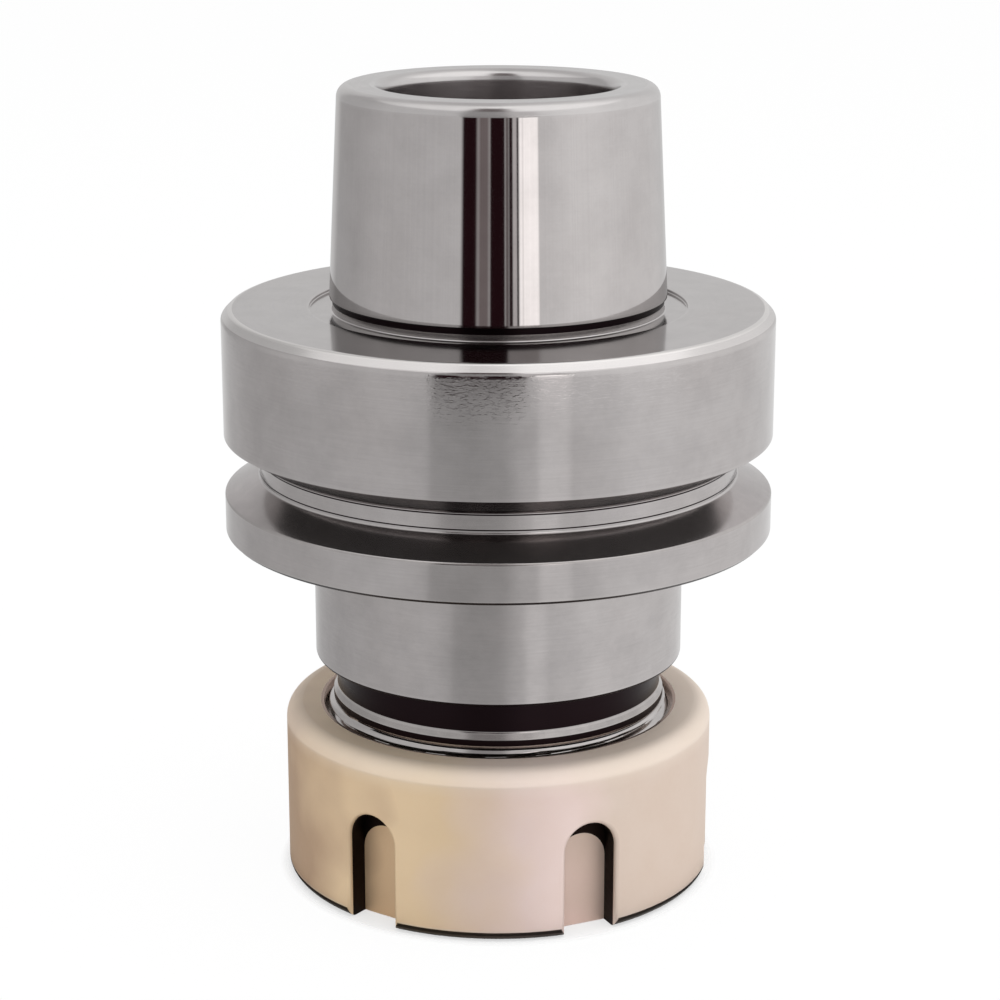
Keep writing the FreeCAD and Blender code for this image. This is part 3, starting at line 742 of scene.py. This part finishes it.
def slot_section(half):
    """Sideways places and heights round one slot, from foot to foot over its arch."""
    foot = NUT_FRONT - SLOT_BELOW
    # The bend is the painted shadow's lower edge on the slot's sides
    bend = NUT_FRONT + SLOT_HEIGHT - SLOT_HALF - SLOT_SHADOW
    return [(-half, foot), (-half, bend), *slot_arch(half), (half, bend), (half, foot)]


def slot_flare():
    """Depth under the nut's wall and widening of each layer of the slot above its floor."""
    layers = [(SLOT_ROUND, 0.0)]
    for step in range(1, FLARE_STEPS + 1):
        bend = math.radians(FLARE_TURN * step)
        layers.append((SLOT_ROUND * (1 - math.sin(bend)), SLOT_ROUND * (1 - math.cos(bend))))
    return layers + [(-SLOT_BEYOND, layers[-1][1] + SLOT_SPREAD)]


def slot_points():
    """Points of the floor, of each layer above it, and of the painted shadow's edge on the floor."""
    points = [(SLOT_FLOOR, y, z) for y, z in slot_section(SLOT_HALF)]
    for deep, wide in slot_flare():
        for y, z in slot_section(SLOT_HALF + wide):
            points.append((math.sqrt(NUT ** 2 - y * y) - deep, y, z))
    return points + [(SLOT_FLOOR, y, z - SLOT_SHADOW) for y, z in slot_arch(SLOT_HALF)[1:-1]]


def slot_faces(count, levels, shadow_edge):
    """Unshaded part and painted shadow of the floor, the outer end and the walls, with their
    regions.
    """
    lit = (0, 1, *shadow_edge, count - 2, count - 1)
    painted_shadow = (*range(1, count - 1), *reversed(shadow_edge))
    outer = tuple(range((levels - 1) * count, levels * count))
    faces = [lit, painted_shadow, outer, *ring_faces(levels, count)]
    # The shaded part of the floor takes the nearly black wall material: a painted shadow
    kinds = ["slot_floor", "slot_wall_and_shadow", "coat"]
    kinds += ["slot_wall_and_shadow"] * count + ["coat"] * (count * (levels - 2))
    return faces, kinds


def face_outward(mesh):
    work = bmesh.new()
    work.from_mesh(mesh)
    bmesh.ops.recalc_face_normals(work, faces=work.faces)
    work.to_mesh(mesh)
    work.free()


def slot_cutter(azimuth):
    """Body of one wrench slot: open at the foot, half-round at the top, flared at the wall."""
    points = slot_points()
    count, levels = len(slot_section(SLOT_HALF)), len(slot_flare()) + 1
    # The last points are the painted shadow's edge on the floor
    shadow_edge = range(count * levels, len(points))
    faces, kinds = slot_faces(count, levels, shadow_edge)
    across, along = math.cos(azimuth), math.sin(azimuth)
    turned = [((x * across - y * along) * MM, (x * along + y * across) * MM, z * MM)
              for x, y, z in points]
    mesh = bpy.data.meshes.new("slot_cutter")
    mesh.from_pydata(turned, [], faces)
    for material in nut_materials.values():
        mesh.materials.append(material)
    order = list(nut_materials)
    mesh.polygons.foreach_set("material_index", [order.index(kind) for kind in kinds])
    shares = [0.0] * count + [1.0] * (count * (levels - 1)) + [0.0] * len(shadow_edge)
    mesh.attributes.new("edge", "FLOAT", "POINT").data.foreach_set("value", shares)
    face_outward(mesh)
    return place_in_scene("slot_cutter", mesh)


def cut_slots(thing):
    """Cuts the wrench slots out of the nut."""
    cutters = []
    for number in range(SLOT_COUNT):
        azimuth = NUT_TURN - math.pi / 2 + number * 2 * math.pi / SLOT_COUNT
        cutter = slot_cutter(azimuth)
        cut = thing.modifiers.new(f"slot_{number}", "BOOLEAN")
        cut.operation = "DIFFERENCE"
        cut.solver = "EXACT"
        cut.object = cutter
        cutters.append(cutter)
    bpy.context.view_layer.update()
    evaluated = thing.evaluated_get(bpy.context.evaluated_depsgraph_get())
    finished = bpy.data.meshes.new_from_object(evaluated)
    thing.modifiers.clear()
    thing.data = finished
    for cutter in cutters:
        bpy.data.objects.remove(cutter)
    smooth_shading(finished)


nut = lathe("nut_turned", nut_rows(), nut_materials)
cut_slots(nut)
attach(nut, "nut")
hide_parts("clamping_nut")


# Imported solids

def paint(node, material):
    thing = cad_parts[node]
    thing.data.materials.clear()
    thing.data.materials.append(material)


paint("collet", cad_metal("collet_ground", (0.58, 0.57, 0.56), rough=0.2, grain=7000.0,
                          bump=0.002))
paint("stop_screw", cad_metal("screw_black", (0.045, 0.045, 0.05), rough=0.38, grain=5200.0,
                              bump=0.006, wear=0.7))


# Light tent, seen only in reflections

FLOOR_GAP, TENT_LIFT = 0.00003, 0.0002
FLOOR = NUT_FRONT * MM - FLOOR_GAP
TENT, TENT_SIDES, TENT_FLOOR = 0.24, 96, FLOOR + TENT_LIFT
TENT_TOP, UPPER_LOW, SILL_TOP, SILL_LOW = 0.22, 0.03, -0.028, -0.0498
CAP_RADIUS, CAP_HEIGHT, PEAK_RADIUS, TENT_PEAK = 0.12, 0.33, 0.001, 0.36
FOOT_INNER, FOOT_OUTER, FOOT_GAP = (NUT + 0.05) * MM, (NUT + 1.4) * MM, 0.001
STREAK_SCALE, STREAK_DETAIL, STREAK_ROUGHNESS = 1.1, 3.0, 0.7

# Brightness of the walls by the degrees to the right of the front
WALL = [(-180, 0.66), (-150, 0.6), (-140, 0.45), (-110, 0.48), (-85, 0.58), (-30, 0.62),
        (26, 0.76), (48, 0.87), (70, 0.9), (90, 0.83), (130, 0.8), (150, 0.68), (180, 0.66)]
NEAR = [(-180, 0.9), (-140, 0.55), (-110, 0.48), (-57, 0.56), (-40, 0.58), (-27, 0.53),
        (-25, 0.42), (-9, 0.39), (2, 0.42), (8, 0.56), (14, 0.6), (16, 0.75), (26, 0.76),
        (28, 0.64), (53, 0.78), (91, 0.77), (130, 0.75), (180, 0.8)]
ROOF = [(-180, 0.55), (-130, 0.6), (-95, 0.85), (20, 1.1), (110, 1.1), (140, 0.8), (180, 0.6)]
# The unlit glow below paints the contact shadow round the nut's foot into reflections
UNLIT = [(-180, 0.0), (180, 0.0)]

# Strips in front of the walls: where they start and end, how soft their sides are, colour
DARK = (0.018, 0.006, 0.008)
STRIPS = [(-23.6, -13.6, 1.0, DARK), (-13.4, -5.4, 1.8, (0.2, 0.17, 0.17)),
          (-5.2, 4.2, 0.4, DARK), (4.6, 6.8, 0.4, (0.16, 0.14, 0.14)), (7.0, 9.3, 0.3, DARK),
          (9.6, 11.6, 0.3, (0.6, 0.57, 0.57)), (11.9, 13.2, 0.3, (0.02, 0.01, 0.012)),
          (13.6, 26.2, 0.5, (1.45, 1.42, 1.41)), (15.6, 16.2, 0.4, (1.0, 0.97, 0.96))]
SILL = [(-24.5, 10.5, 1.5, DARK), (15.0, 27.0, 1.5, (0.95, 0.93, 0.93))]
UPPER = [(-24.5, 7.0, 1.5, DARK), (7.0, 27.0, 1.5, (0.5, 0.48, 0.48))]
FLAG = [(-24.0, 10.0, 5.0, (0.15, 0.13, 0.13))]


def wall_tone(shade, degrees, stops):
    """Brightness that passes from stop to stop round the axis."""
    ramp = shade.node("ShaderNodeValToRGB")
    table = ramp.color_ramp.elements
    table.remove(table[1])
    for number, (at, value) in enumerate(stops):
        stop = table[0] if number == 0 else table.new(at / 360 + 0.5)
        stop.position = at / 360 + 0.5
        stop.color = (value, value, value, 1)
    shade.put(ramp.inputs[0], shade.math("MULTIPLY_ADD", degrees, 1 / 360, 0.5))
    return ramp.outputs[0]


def strip_share(shade, degrees, start, end, soft):
    """One inside a strip and nothing outside, with soft sides."""
    away = shade.math("ABSOLUTE", shade.math("SUBTRACT", degrees, (start + end) / 2))
    half = (end - start) / 2
    return shade.remap(away, over=(half - soft, half + soft), to=(1.0, 0.0))


def tent_light(name, stops, strips=(), second=1.0, streaks=0.0, first=1.0):
    """Glow of a tent wall by the direction from the axis, dimmer after a second reflection.

    The first reflection shows its strips in the share given."""
    shade = Shade(name)
    x, y, z = shade.split(shade.node("ShaderNodeNewGeometry").outputs["Position"])
    azimuth = shade.math("ARCTAN2", x, shade.math("MULTIPLY", y, -1.0))
    degrees = shade.math("MULTIPLY", azimuth, 180 / math.pi)
    bounces = shade.node("ShaderNodeLightPath").outputs["Glossy Depth"]
    shown = shade.remap(bounces, over=(1.0, 2.0), to=(first, 1.0))
    tone = wall_tone(shade, degrees, stops)
    for start, end, soft, colour in strips:
        share = shade.math("MULTIPLY", strip_share(shade, degrees, start, end, soft), shown)
        tone = shade.blend(share, tone, (*colour, 1))
    if streaks:
        lines = shade.noise(shade.vector(degrees, 0.0, 0.0), STREAK_SCALE, STREAK_DETAIL,
                            STREAK_ROUGHNESS)
        uneven = shade.remap(lines, over=(0.25, 0.75), to=(1 - streaks, 1 + streaks))
        tone = shade.blend(1.0, tone, uneven, "MULTIPLY")
    glow = shade.node("ShaderNodeEmission")
    strength = shade.remap(bounces, over=(1.0, 2.0), to=(1.0, second))
    shade.put(shade.out.inputs[0], shade.filled(glow, tone, strength))
    return shade.material


def only_in_reflections(thing):
    thing.visible_camera = False
    thing.visible_diffuse = False
    thing.visible_shadow = False
    thing.visible_transmission = False
    thing.visible_volume_scatter = False


def band(name, lower, upper, material):
    """Open ring wall between two rings, each with its radius and height in metres."""
    points = []
    for radius, height in (lower, upper):
        for number in range(TENT_SIDES):
            turn = 2 * math.pi * number / TENT_SIDES
            points.append((radius * math.cos(turn), radius * math.sin(turn), height))
    mesh = bpy.data.meshes.new(name)
    mesh.from_pydata(points, [], ring_faces(2, TENT_SIDES))
    mesh.materials.append(material)
    return place_in_scene(name, mesh)


def light_tent():
    """Dark foot ring that paints the contact shadow into reflections, floor, walls in four levels,
    slope and roof.
    """
    low_light = tent_light("tent_low", NEAR, second=0.1)
    # Painted shadow: an unlit ring round the nut's foot, seen only in reflections, stands in for the
    # contact shadow
    foot_shadow = tent_light("tent_foot_shadow", UNLIT)
    sill_light = tent_light("tent_sill", WALL, SILL, second=0.8)
    high_light = tent_light("tent_high", WALL, STRIPS, second=1.0, streaks=0.12)
    upper_light = tent_light("tent_upper", WALL, UPPER, second=0.65, first=0.5)
    slope_light = tent_light("tent_slope", ROOF, FLAG, second=0.12)
    roof_light = tent_light("tent_roof", ROOF, second=0.12)
    floor_inner, cap = FOOT_OUTER + FOOT_GAP, (CAP_RADIUS, CAP_HEIGHT)
    for name, lower, upper, light in (
            ("tent_foot_shadow", (FOOT_INNER, TENT_FLOOR), (FOOT_OUTER, TENT_FLOOR), foot_shadow),
            ("tent_floor", (floor_inner, TENT_FLOOR), (TENT, TENT_FLOOR), low_light),
            ("tent_low_wall", (TENT, FLOOR), (TENT, SILL_LOW), low_light),
            ("tent_sill", (TENT, SILL_LOW), (TENT, SILL_TOP), sill_light),
            ("tent_high_wall", (TENT, SILL_TOP), (TENT, UPPER_LOW), high_light),
            ("tent_upper_wall", (TENT, UPPER_LOW), (TENT, TENT_TOP), upper_light),
            ("tent_slope", (TENT, TENT_TOP), cap, slope_light),
            ("tent_roof", cap, (PEAK_RADIUS, TENT_PEAK), roof_light)):
        only_in_reflections(band(name, lower, upper, light))


light_tent()


# Floor

FLOOR_REACH, FLOOR_WHITE = 2.5, (0.9, 0.9, 0.9, 1)
SHADOW_INNER, SHADOW_OUTER = (NUT - 0.2) * MM, (NUT + 1.2) * MM
SHADOW_CLEAR, FLOOR_CLEAR = 0.6, 0.96


def floor_material():
    """White floor, nearly clear to the camera beyond the object's foot and from below."""
    shade = Shade("floor_white")
    geometry = shade.node("ShaderNodeNewGeometry")
    x, y, z = shade.split(geometry.outputs["Position"])
    from_axis = shade.node("ShaderNodeVectorMath", operation="LENGTH")
    shade.put(from_axis.inputs[0], shade.vector(x, y, 0.0))
    clear = shade.remap(from_axis.outputs["Value"], over=(SHADOW_INNER, SHADOW_OUTER),
                        to=(SHADOW_CLEAR, FLOOR_CLEAR))
    path = shade.node("ShaderNodeLightPath")
    to_camera = shade.math("MULTIPLY", path.outputs["Is Camera Ray"], clear)
    white = shade.node("ShaderNodeBsdfDiffuse")
    shade.put(white.inputs["Color"], FLOOR_WHITE)
    through = shade.node("ShaderNodeBsdfTransparent").outputs[0]
    front = shade.mix(to_camera, white.outputs[0], through)
    either = shade.mix(geometry.outputs["Backfacing"], front, through)
    shade.put(shade.out.inputs[0], either)
    return shade.material


floor_mesh = bpy.data.meshes.new("floor")
floor_mesh.from_pydata([(-FLOOR_REACH, -FLOOR_REACH, FLOOR), (FLOOR_REACH, -FLOOR_REACH, FLOOR),
                        (FLOOR_REACH, FLOOR_REACH, FLOOR), (-FLOOR_REACH, FLOOR_REACH, FLOOR)],
                       [], [(0, 1, 2, 3)])
floor_mesh.materials.append(floor_material())
floor = place_in_scene("floor", floor_mesh)


# World, lamp and camera

WORLD_LIGHT = 0.75
LAMP_PLACE, LAMP_SIZE, LAMP_POWER = (0.15, -0.1, 0.7), (0.7, 0.7), 5.0
LAMP_TARGET = (0, 0, -0.02)
CAMERA_PLACE, CAMERA_TILT = (0, -0.30277, 0.06240), math.radians(90 - 15.794)
SENSOR, LENS, SHIFT = 36.0, 97.56, 0.0017
CLIP_NEAR, CLIP_FAR = 0.01, 20.0


def white_world():
    """White to the camera and in reflections, a little dimmer as the light on surfaces."""
    world = bpy.data.worlds.new("studio")
    bpy.context.scene.world = world
    sky = Nodes(world, "ShaderNodeOutputWorld")
    path = sky.node("ShaderNodeLightPath").outputs
    seen = sky.math("ADD", path["Is Camera Ray"], path["Is Glossy Ray"])
    seen = sky.math("ADD", seen, path["Is Transmission Ray"], clamp=True)
    strength = sky.remap(seen, over=(0.0, 1.0), to=(WORLD_LIGHT, 1.0))
    white = sky.filled(sky.node("ShaderNodeBackground"), (1, 1, 1, 1), strength)
    sky.put(sky.out.inputs[0], white)


def lamp(name, place, size, power):
    """Soft lamp that points at the object, not seen in reflections."""
    data = bpy.data.lights.new(name, "AREA")
    data.shape = "RECTANGLE"
    data.size, data.size_y = size
    data.energy = power
    thing = place_in_scene(name, data)
    thing.location = place
    towards = Vector(LAMP_TARGET) - Vector(place)
    thing.rotation_euler = towards.to_track_quat("-Z", "Y").to_euler()
    thing.visible_glossy = False


def photo_camera():
    """Camera at the place from which the photo was taken."""
    data = bpy.data.cameras.new("camera")
    data.sensor_width = SENSOR
    data.lens = LENS
    data.shift_x = SHIFT
    data.clip_start = CLIP_NEAR
    data.clip_end = CLIP_FAR
    camera = place_in_scene("camera", data)
    camera.location = CAMERA_PLACE
    camera.rotation_euler = (CAMERA_TILT, 0, 0)
    bpy.context.scene.camera = camera


white_world()
lamp("lamp_top", LAMP_PLACE, LAMP_SIZE, LAMP_POWER)
photo_camera()
bpy.context.scene.view_settings.view_transform = "Standard"
